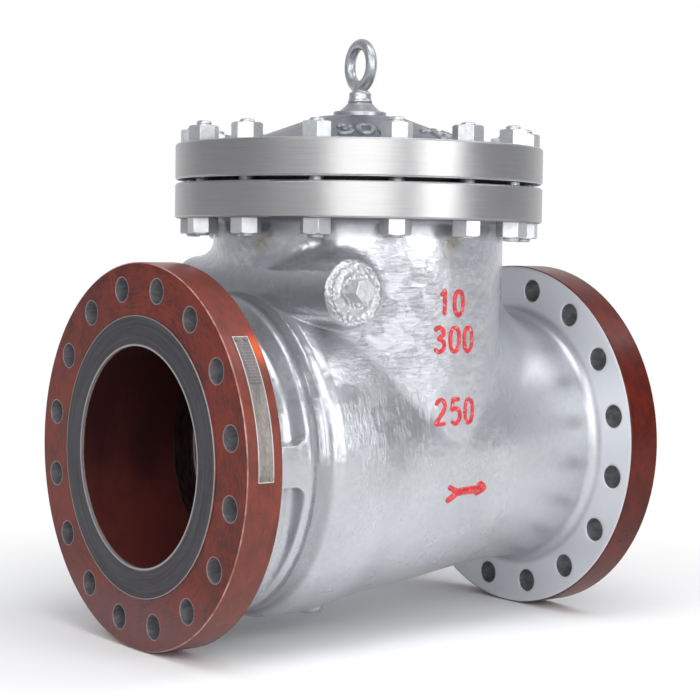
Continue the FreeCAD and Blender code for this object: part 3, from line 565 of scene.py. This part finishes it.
def red_paint_material():
    """Red paint brushed over the raised cast marks, thin enough to show silver in places."""
    g = Graph("red_mark_finish")
    worn = g.ramp(g.noise(240.0, 4.0, 0.65), 0.56, 0.66)
    shade = g.ramp(g.noise(90.0, 3.0, 0.6), 0.35, 0.65)
    red = g.mix(shade, (0.44, 0.010, 0.016), (0.66, 0.026, 0.033))
    color = g.mix(worn * 0.8, red, SILVER_LIGHT)
    height = g.noise(240.0, 3.0, 0.6) * 0.6
    return g.finish(color, g.blend(worn, 0.0, 0.7), 0.30, height, depth=0.0008)


def thread_height(z, pitch, depth):
    """The depth of a thread's groove at a height."""
    phase = (z / pitch) % 1.0
    return depth * abs(2.0 * phase - 1.0)


def new_object(name, build):
    """An object from a function that fills a bmesh, shaded smooth."""
    mesh = bpy.data.meshes.new(name)
    form = bmesh.new()
    build(form)
    form.to_mesh(mesh)
    form.free()
    for face in mesh.polygons:
        face.use_smooth = True
    thing = bpy.data.objects.new(name, mesh)
    bpy.context.scene.collection.objects.link(thing)
    return thing


def join_rings(form, rings, closed=False):
    """Adds the faces between rings of vertices, and from the last ring to the first where closed."""
    following = rings[1:] + rings[:1] if closed else rings[1:]
    for low, high in zip(rings, following):
        for i in range(len(low)):
            j = (i + 1) % len(low)
            form.faces.new((low[i], low[j], high[j], high[i]))


def cap_rings(form, rings):
    """Closes a tube at both ends."""
    form.faces.new(list(reversed(rings[0])))
    form.faces.new(rings[-1])


def even_angles(count):
    """Angles at even steps round a full turn."""
    return [2 * math.pi * i / count for i in range(count)]


def add_turned(form, centre, profile, sides):
    """Adds a form turned about the vertical line through centre, from (radius, z) points."""
    rings = []
    for r, z in profile:
        rings.append([form.verts.new((centre[0] + r * math.cos(a), centre[1] + r * math.sin(a), z))
                      for a in even_angles(sides)])
    join_rings(form, rings)
    cap_rings(form, rings)


def stud_places():
    """The stud centres on the cover's bolt circle."""
    for i in range(STUDS):
        turn = 2 * math.pi * (i + 0.5) / STUDS
        yield i, NECK_X + STUD_CIRCLE_R * math.cos(turn), STUD_CIRCLE_R * math.sin(turn)


def build_studs(form):
    """Threaded studs, as long as the CAD's, with a chamfer at each end and threads cut only where they show."""
    for i, x, y in stud_places():
        above = 0.0045 + 0.0015 * math.sin(2.3 * i)
        below = 0.0035 + 0.0012 * math.sin(1.7 * i + 1)
        low = COVER_FLANGE_BASE_Z - NUT_HEIGHT - below
        high = COVER_TOP_Z + NUT_HEIGHT + above
        profile = [(STUD_R - 0.0024, low), (STUD_R - 0.0012, low + 0.0011)]
        z = low + 0.0014
        while z < high - 0.0014:
            near_end = min(z - low, high - z) < THREAD_SHOWN or abs(z - COVER_BASE_Z) < 0.012
            if near_end:
                profile.append((STUD_R - thread_height(z, THREAD_PITCH, THREAD_DEPTH), z))
                z += THREAD_PITCH / 4
            else:
                profile.append((STUD_R - HIDDEN_THREAD_DEPTH, z))
                z += 0.02
        profile += [(STUD_R - 0.0012, high - 0.0011), (STUD_R - 0.0024, high)]
        add_turned(form, (x, y), profile, 24)


def build_eye(form):
    """The eye bolt's stem in its hole and its turned collar, as radii at heights over the seat."""
    steps = [(0.0100, -0.029), (0.0100, 0.0002), (0.0152, 0.0003), (0.0155, 0.0015), (0.0146, 0.0030),
             (0.0138, 0.0045), (0.0136, 0.0095), (0.0138, 0.0110), (0.0130, 0.0125), (0.0108, 0.0136),
             (0.0092, 0.0160), (0.0086, 0.0195), (0.0080, 0.0235)]
    add_turned(form, (NECK_X, 0.0), [(r, LIFT_SEAT_Z + rise) for r, rise in steps], 40)


def build_eye_ring(form):
    """The eye's ring, forged a little thicker at its foot, turned as in the photograph."""
    across = Vector((math.cos(EYE_TURN), math.sin(EYE_TURN), 0.0))
    normal = Vector((-math.sin(EYE_TURN), math.cos(EYE_TURN), 0.0))
    rings = []
    for a in even_angles(72):
        out = across * math.sin(a) + Vector((0, 0, -math.cos(a)))
        section = 0.0070 + 0.0009 * max(0.0, math.cos(a)) ** 3
        centre = Vector((NECK_X, 0, EYE_Z)) + out * EYE_RING_R
        rings.append([form.verts.new(centre + (out * math.cos(b) + normal * math.sin(b)) * section)
                      for b in even_angles(20)])
    join_rings(form, rings, closed=True)


def join_forged(objects, voxel, smooth_steps):
    """Melts overlapping forms into one forged skin."""
    bpy.ops.object.select_all(action="DESELECT")
    for thing in objects:
        thing.select_set(True)
    bpy.context.view_layer.objects.active = objects[0]
    bpy.ops.object.join()
    joined = bpy.context.view_layer.objects.active
    remesh = joined.modifiers.new("skin", "REMESH")
    remesh.mode = "VOXEL"
    remesh.voxel_size = voxel
    remesh.use_smooth_shade = True
    bpy.ops.object.modifier_apply(modifier="skin")
    soften = joined.modifiers.new("soften", "SMOOTH")
    soften.iterations = smooth_steps
    bpy.ops.object.modifier_apply(modifier="soften")
    return joined


def build_weld_skin(form):
    """The lumpy weld and crust on the plugged end of the pin housing, up to the plug's head."""
    rings = []
    for k in range(44):
        r = 0.0118 + 0.00068 * k
        ring = []
        for a in even_angles(180):
            place = Vector((PIN_X + r * math.cos(a), 0, PIN_Z + r * math.sin(a)))
            from_rim = HOUSING_R - math.hypot(place.x - PIN_X, place.z - HOUSING_Z)
            broad = noise.noise(place * 95.0)
            lump = noise.noise(place * 230.0 + Vector((3, 0, 1)))
            fine = noise.noise(place * 560.0)
            cap = 0.0030 * (1.0 - min(1.0, max(0.0, (r - PLUG_R) / 0.004)))
            bead = 0.0036 * math.exp(-((r - 0.0235) / 0.0036) ** 2) * (1.0 + 0.7 * broad)
            ridge = 0.0034 * math.exp(-((from_rim - 0.0042) / 0.0034) ** 2) * (1.0 + 0.9 * lump)
            rise = 0.0009 + cap + bead + ridge + 0.0011 * lump + 0.0006 * fine
            fade = min(1.0, max(0.0, (from_rim + 0.0006) / 0.0030)) ** 0.5
            place.y = -(HOUSING_END - 0.0010 + (max(rise, 0.0004) + 0.0010) * fade)
            reach = HOUSING_R + 0.0004 + 0.0005 * lump
            if from_rim < HOUSING_R - reach:
                out = Vector((place.x - PIN_X, 0, place.z - HOUSING_Z)).normalized() * reach
                place.x, place.z = PIN_X + out.x, HOUSING_Z + out.z
            ring.append(form.verts.new(place))
        rings.append(ring)
    join_rings(form, rings)


def search_tree(thing):
    """A tree over an object's faces, for laying marks on it."""
    mesh = thing.data
    return BVHTree.FromPolygons([v.co.copy() for v in mesh.vertices], [tuple(f.vertices) for f in mesh.polygons])


def camera_axes():
    """The camera's right, up and forward directions."""
    azimuth = math.radians(CAMERA_AZIMUTH)
    elevation = math.radians(CAMERA_ELEVATION)
    forward = Vector((math.cos(azimuth) * math.cos(elevation), math.sin(azimuth) * math.cos(elevation),
                      math.sin(elevation)))
    level = Vector((math.sin(azimuth), -math.cos(azimuth), 0.0))
    turn = Matrix.Rotation(math.radians(CAMERA_ROLL), 3, forward)
    right = turn @ level
    return right, right.cross(forward), forward


def under_pixel(tree, px, py):
    """The point and the normal of the surface that a pixel of the photograph's frame sees."""
    right, up, forward = camera_axes()
    per_pixel = SENSOR_WIDTH / CAMERA_LENS / FRAME_PIXELS
    middle = FRAME_PIXELS / 2
    direction = forward + right * ((px - middle) * per_pixel) - up * ((py - middle) * per_pixel)
    place, normal, _, _ = tree.ray_cast(CAMERA_AT, direction.normalized())
    return place, normal


FLOW = Vector((1, 0, 0))

# The digits' strokes, as shares of their height
DIGIT_WIDTH = 0.52
DIGITS = {
    "0": [(0.26, 1.0), (0.08, 0.86), (0.02, 0.5), (0.08, 0.14), (0.26, 0.0), (0.45, 0.14), (0.51, 0.5),
          (0.45, 0.86), (0.26, 1.0)],
    "1": [(0.10, 0.80), (0.22, 0.90), (0.31, 1.0), (0.31, 0.66), (0.31, 0.33), (0.31, 0.0)],
    "2": [(0.04, 0.78), (0.14, 0.96), (0.34, 0.99), (0.48, 0.80), (0.42, 0.56), (0.22, 0.28), (0.03, 0.02),
          (0.28, 0.01), (0.52, 0.02)],
    "3": [(0.04, 0.86), (0.22, 1.0), (0.44, 0.90), (0.45, 0.68), (0.24, 0.55), (0.47, 0.42), (0.50, 0.16),
          (0.28, 0.0), (0.03, 0.12)],
    "5": [(0.47, 1.0), (0.28, 1.0), (0.10, 0.98), (0.08, 0.78), (0.07, 0.58), (0.28, 0.63), (0.48, 0.50),
          (0.49, 0.20), (0.28, 0.0), (0.03, 0.10)],
}


def smooth_path(points, steps=5):
    """Points along a soft curve through the given points."""
    path = []
    last = len(points) - 1
    for i in range(last):
        before, a = points[max(i - 1, 0)], points[i]
        b, after = points[i + 1], points[min(i + 2, last)]
        for k in range(steps):
            t = k / steps
            path.append(tuple(
                0.5 * (2 * a[n] + (b[n] - before[n]) * t + (2 * before[n] - 5 * a[n] + 4 * b[n] - after[n]) * t * t
                       + (3 * a[n] - before[n] - 3 * b[n] + after[n]) * t ** 3) for n in range(2)))
    path.append(points[-1])
    return path


def lay_stroke(form, tree, origin, axes, path, radius, flat=0.75, seed=0.0):
    """Adds a raised bead that follows a path over the surface."""
    across, up, out = axes
    centres = []
    for u, v in path:
        start = origin + across * u + up * v + out * 0.06
        place, normal, _, _ = tree.ray_cast(start, -out, 0.2)
        if place is None:
            continue
        if normal.dot(out) < 0:
            normal = -normal
        centres.append((place, normal))
    rings = []
    last = len(centres) - 1
    for i, (place, normal) in enumerate(centres):
        ahead = (centres[min(i + 1, last)][0] - centres[max(i - 1, 0)][0]).normalized()
        side = ahead.cross(normal).normalized()
        wave = 1.0 + 0.12 * noise.noise(place * 160.0 + Vector((seed, 0, 0)))
        ends = min(i, last - i)
        full = radius * wave * (0.62 if ends == 0 else 0.9 if ends == 1 else 1.0)
        rings.append([form.verts.new(place + side * math.cos(a) * full + normal * math.sin(a) * full * flat)
                      for a in even_angles(10)])
    join_rings(form, rings)
    cap_rings(form, rings)


def lay_digits(form, tree, place, axes, text, height, spacing, radius, flat, seed_step):
    """Adds a raised number with its middle at a place; its spacing is a share of its height."""
    width = height * (spacing * (len(text) - 1) + DIGIT_WIDTH)
    for n, digit in enumerate(text):
        left = n * spacing * height - width / 2
        path = [(left + u * height, (v - 0.5) * height) for u, v in smooth_path(DIGITS[digit])]
        lay_stroke(form, tree, place, axes, path, radius, flat, seed=n * seed_step)


def surface_axes(normal, along):
    """Directions across, up and out for marks that read along a direction on a surface."""
    out = normal.normalized()
    across = (along - out * along.dot(out)).normalized()
    return across, out.cross(across).normalized(), out


def cast_number(name, tree, text, pixel):
    """A raised number whose middle is under a pixel of the photograph."""
    place, normal = under_pixel(tree, *pixel)
    axes = surface_axes(normal, FLOW)

    def build(form):
        lay_digits(form, tree, place, axes, text, 0.0285, 0.80, radius=0.0026, flat=0.75, seed_step=3.0)

    return new_object(name, build)


def flow_arrow(tree):
    """The raised arrow that shows the flow's direction, with a forked tail."""
    place, normal = under_pixel(tree, 466.5, 491.0)
    axes = surface_axes(normal, FLOW)
    strokes = [
        ([(-0.020, 0.0), (0.0, 0.0005), (0.022, 0.0)], 0.0052),
        ([(-0.016, 0.0015), (-0.025, 0.005), (-0.0325, 0.0085)], 0.0036),
        ([(-0.016, -0.0015), (-0.024, -0.0055), (-0.032, -0.0105)], 0.0042),
        ([(0.0205, 0.0090), (0.027, 0.0045), (0.0335, 0.0)], 0.0036),
        ([(0.0165, -0.0060), (0.025, -0.0030), (0.0335, 0.0)], 0.0036),
        ([(0.0205, 0.0085), (0.0195, 0.001), (0.0175, -0.0055)], 0.0038)]
    pieces = []
    for n, (path, radius) in enumerate(strokes):
        def build(form, path=path, radius=radius, n=n):
            lay_stroke(form, tree, place, axes, smooth_path(path, 4), radius, flat=0.65, seed=n * 5.0)
        pieces.append(new_object("flow_arrow", build))
    arrow = join_forged(pieces, 0.0011, 3)
    arrow.name = "flow_arrow"
    return arrow


def dome_marks(tree):
    """Plain raised numbers on the cover's dome, by the angle and the distance of their middle."""
    def build(form):
        for text, angle, reach in (("300", -124.0, 0.110), ("250", -68.0, 0.118)):
            turn = math.radians(angle)
            radial = Vector((math.cos(turn), math.sin(turn), 0))
            start = Vector((NECK_X, 0, 0.6)) + radial * reach
            place, normal, _, _ = tree.ray_cast(start, Vector((0, 0, -1)))
            axes = surface_axes(normal, Vector((-radial.y, radial.x, 0)))
            lay_digits(form, tree, place, axes, text, 0.034, 0.74, radius=0.0033, flat=1.0, seed_step=2.0)
    return new_object("dome_numbers", build)


def set_material(thing, material):
    """Gives an object one material, also where it has several slots."""
    if not thing.data.materials:
        thing.data.materials.append(material)
    for slot in thing.material_slots:
        slot.material = material


def soft_light(name, place, aim, size, power):
    """A soft white rectangular lamp."""
    lamp = bpy.data.lights.new(name, "AREA")
    lamp.shape = "RECTANGLE"
    lamp.size, lamp.size_y = size
    lamp.energy = power
    thing = bpy.data.objects.new(name, lamp)
    thing.location = place
    thing.rotation_euler = (Vector(aim) - Vector(place)).to_track_quat("-Z", "Y").to_euler()
    bpy.context.scene.collection.objects.link(thing)


def set_camera():
    """The camera at the photograph's place, level and lens."""
    right, up, forward = camera_axes()
    lens = bpy.data.cameras.new("camera")
    lens.lens = CAMERA_LENS
    lens.sensor_width = SENSOR_WIDTH
    lens.clip_start = 0.05
    thing = bpy.data.objects.new("camera", lens)
    turn = Matrix((right, up, -forward)).transposed().to_4x4()
    thing.matrix_world = Matrix.Translation(CAMERA_AT) @ turn
    bpy.context.scene.collection.objects.link(thing)
    bpy.context.scene.camera = thing


def any_ray(tree, *kinds):
    """One for rays of any of these kinds, and nought for the others."""
    path = tree.nodes.new("ShaderNodeLightPath")
    total = path.outputs[kinds[0]]
    for kind in kinds[1:]:
        either = tree.nodes.new("ShaderNodeMath")
        either.operation = "MAXIMUM"
        tree.links.new(total, either.inputs[0])
        tree.links.new(path.outputs[kind], either.inputs[1])
        total = either.outputs[0]
    return total


def sky_ramp(tree, toward, stops):
    """A colour for each share, from -1 to 1, of the sky's direction along a given one."""
    place = tree.nodes.new("ShaderNodeTexCoord")
    share = tree.nodes.new("ShaderNodeVectorMath")
    share.operation = "DOT_PRODUCT"
    share.inputs[1].default_value = toward
    tree.links.new(place.outputs["Generated"], share.inputs[0])
    shift = tree.nodes.new("ShaderNodeMath")
    shift.operation = "MULTIPLY_ADD"
    shift.inputs[1].default_value = 0.5
    shift.inputs[2].default_value = 0.5
    tree.links.new(share.outputs["Value"], shift.inputs[0])
    ramp = tree.nodes.new("ShaderNodeValToRGB")
    tree.links.new(shift.outputs[0], ramp.inputs[0])
    for n, (height, color) in enumerate(stops):
        at = 0.5 + 0.5 * height
        element = ramp.color_ramp.elements[n] if n < 2 else ramp.color_ramp.elements.new(at)
        element.position = at
        element.color = color + (1.0,)
    return ramp.outputs[0]


def set_world():
    """A studio with a white backdrop, as the camera and the metal see it, in a grey room that lights it."""
    world = bpy.data.worlds.new("studio")
    world.use_nodes = True
    bpy.context.scene.world = world
    tree = world.node_tree
    tree.nodes.clear()
    up = (0.0, 0.0, 1.0)
    away = (math.cos(math.radians(CAMERA_AZIMUTH)), math.sin(math.radians(CAMERA_AZIMUTH)), 0.0)
    room = tree.nodes.new("ShaderNodeBackground")
    tree.links.new(sky_ramp(tree, up, [(-1.0, (0.42, 0.42, 0.43)), (1.0, (0.62, 0.63, 0.66)),
                                       (0.1, (0.30, 0.30, 0.31))]), room.inputs[0])
    room.inputs[1].default_value = 0.85
    mirrored = tree.nodes.new("ShaderNodeBackground")
    tree.links.new(sky_ramp(tree, away, [(-1.0, (0.27, 0.28, 0.30)), (1.0, (1.0, 1.0, 1.0)),
                                         (0.0, (0.30, 0.31, 0.33)), (0.45, (0.42, 0.43, 0.46)),
                                         (0.92, (1.0, 1.0, 1.0))]), mirrored.inputs[0])
    white = tree.nodes.new("ShaderNodeBackground")
    white.inputs[0].default_value = (1.0, 1.0, 1.0, 1.0)
    last = room.outputs[0]
    for share, sky in ((any_ray(tree, "Is Glossy Ray", "Is Transmission Ray"), mirrored),
                       (any_ray(tree, "Is Camera Ray"), white)):
        choose = tree.nodes.new("ShaderNodeMixShader")
        tree.links.new(share, choose.inputs[0])
        tree.links.new(last, choose.inputs[1])
        tree.links.new(sky.outputs[0], choose.inputs[2])
        last = choose.outputs[0]
    output = tree.nodes.new("ShaderNodeOutputWorld")
    tree.links.new(last, output.inputs["Surface"])


def pale_floor():
    """A wide pale floor under the flanges, which keeps the object's shadow and fades to white further out."""
    def build(form):
        z = -FLANGE_R - 0.0002
        form.faces.new([form.verts.new((x, y, z)) for x, y in ((-9, -9), (9, -9), (9, 9), (-9, 9))])
    floor = new_object("floor", build)
    material = bpy.data.materials.new("floor_finish")
    material.use_nodes = True
    tree = material.node_tree
    shader = tree.nodes["Principled BSDF"]
    shader.inputs["Base Color"].default_value = (0.93, 0.93, 0.935, 1)
    shader.inputs["Roughness"].default_value = 0.7
    shader.inputs["Specular IOR Level"].default_value = 0.1
    output = tree.nodes["Material Output"]
    place = tree.nodes.new("ShaderNodeNewGeometry")
    away = tree.nodes.new("ShaderNodeVectorMath")
    away.operation = "DISTANCE"
    away.inputs[1].default_value = (0.31, 0.0, -FLANGE_R)
    tree.links.new(place.outputs["Position"], away.inputs[0])
    fade = tree.nodes.new("ShaderNodeMapRange")
    fade.interpolation_type = "SMOOTHSTEP"
    fade.inputs["From Min"].default_value = 0.36
    fade.inputs["From Max"].default_value = 0.95
    tree.links.new(away.outputs["Value"], fade.inputs["Value"])
    share = tree.nodes.new("ShaderNodeMath")
    share.operation = "MULTIPLY"
    tree.links.new(any_ray(tree, "Is Camera Ray", "Is Glossy Ray", "Is Transmission Ray"), share.inputs[0])
    tree.links.new(fade.outputs["Result"], share.inputs[1])
    white = tree.nodes.new("ShaderNodeEmission")
    white.inputs["Color"].default_value = (1.0, 1.0, 1.0, 1)
    white.inputs["Strength"].default_value = 1.0
    mixed = tree.nodes.new("ShaderNodeMixShader")
    tree.links.new(share.outputs[0], mixed.inputs[0])
    tree.links.new(shader.outputs[0], mixed.inputs[1])
    tree.links.new(white.outputs[0], mixed.inputs[2])
    tree.links.new(mixed.outputs[0], output.inputs["Surface"])
    set_material(floor, material)


body_tree = search_tree(nodes["valve_body"])
cover_tree = search_tree(nodes["cover"])

silver_fastener = paint_material("fastener_paint", (0.47, 0.48, 0.495), (0.60, 0.61, 0.62), 0.78, 0.24, 0.5)
eye_paint = paint_material("eye_bolt_paint", (0.34, 0.35, 0.37), (0.52, 0.53, 0.55), 0.80, 0.24, 0.8)
crust_paint = paint_material("weld_paint", (0.40, 0.41, 0.43), (0.58, 0.59, 0.61), 0.80, 0.26, 1.8)
plug_paint = paint_material("plug_paint", (0.44, 0.45, 0.47), (0.60, 0.61, 0.63), 0.80, 0.26, 1.6)
red_paint = red_paint_material()
steel = turned_material("turned_steel", (0.40, 0.40, 0.41), (0.60, 0.60, 0.61))
# Painted shade: the seat ring's steel is coloured nearly black, as it lies in shadow deep in the bore.
ring_steel_in_shade = turned_material("seat_ring_painted_shade", (0.035, 0.024, 0.024), (0.09, 0.070, 0.068), 0.34)
bronze = turned_material("bush_bronze", (0.40, 0.27, 0.12), (0.58, 0.42, 0.20), 0.3)
plate_metal = plate_material()

finishes = {
    "valve_body": valve_body_material(),
    "seat_ring": ring_steel_in_shade,
    "disc": disc_material(),
    "disc_washer": steel,
    "disc_nut": steel,
    "disc_split_pin": steel,
    "hinge_arm": arm_material(),
    "arm_bush_near": bronze,
    "arm_bush_far": bronze,
    "hinge_pin": steel,
    "pin_plug": plug_paint,
    "cover": cover_material(),
    "cover_gasket": gasket_material(),
    "upper_nuts": silver_fastener,
    "lower_nuts": silver_fastener,
    "nameplate": plate_metal,
    "nameplate_rivets": plate_metal,
}
for node_name, finish in finishes.items():
    set_material(nodes[node_name], finish)

studs = new_object("threaded_studs", build_studs)
set_material(studs, silver_fastener)
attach(studs, "body")
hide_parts("cover_studs")

eye = join_forged([new_object("eye_bolt", build_eye), new_object("eye_ring", build_eye_ring)], 0.0011, 4)
eye.name = "forged_eye_bolt"
set_material(eye, eye_paint)
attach(eye, "body")
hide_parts("lifting_eye_bolt")

weld = new_object("plug_weld_bead", build_weld_skin)
set_material(weld, crust_paint)
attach(weld, "body")
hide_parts("plug_weld")

marks = [
    cast_number("size_number", body_tree, "10", (451.5, 303.0)),
    cast_number("class_number", body_tree, "300", (454.5, 339.5)),
    cast_number("plain_number", body_tree, "250", (455.5, 411.5)),
    flow_arrow(body_tree),
]
for mark in marks:
    set_material(mark, red_paint)
    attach(mark, "body")

dome = dome_marks(cover_tree)
set_material(dome, paint_material("dome_mark_paint", (0.20, 0.205, 0.22), (0.34, 0.345, 0.36), 0.7, 0.26, 0.8))
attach(dome, "body")

pale_floor()
set_world()
soft_light("front", (-1.55, -2.60, 1.00), (0.25, 0, 0.08), (2.4, 2.2), 50.0)
soft_light("front_right", (0.84, -2.80, 0.75), (0.3, 0, 0.08), (1.3, 1.5), 25.0)
soft_light("right_high", (1.92, -0.94, 2.16), (0.3, 0, 0.08), (1.2, 1.2), 15.0)
soft_light("left_high", (-2.45, -0.75, 1.65), (0.1, 0, 0.08), (1.4, 1.4), 20.0)
soft_light("top", (-0.10, -0.95, 2.7), (0.3, 0, 0.1), (1.8, 1.6), 32.0)
set_camera()
bpy.context.scene.view_settings.view_transform = "Standard"
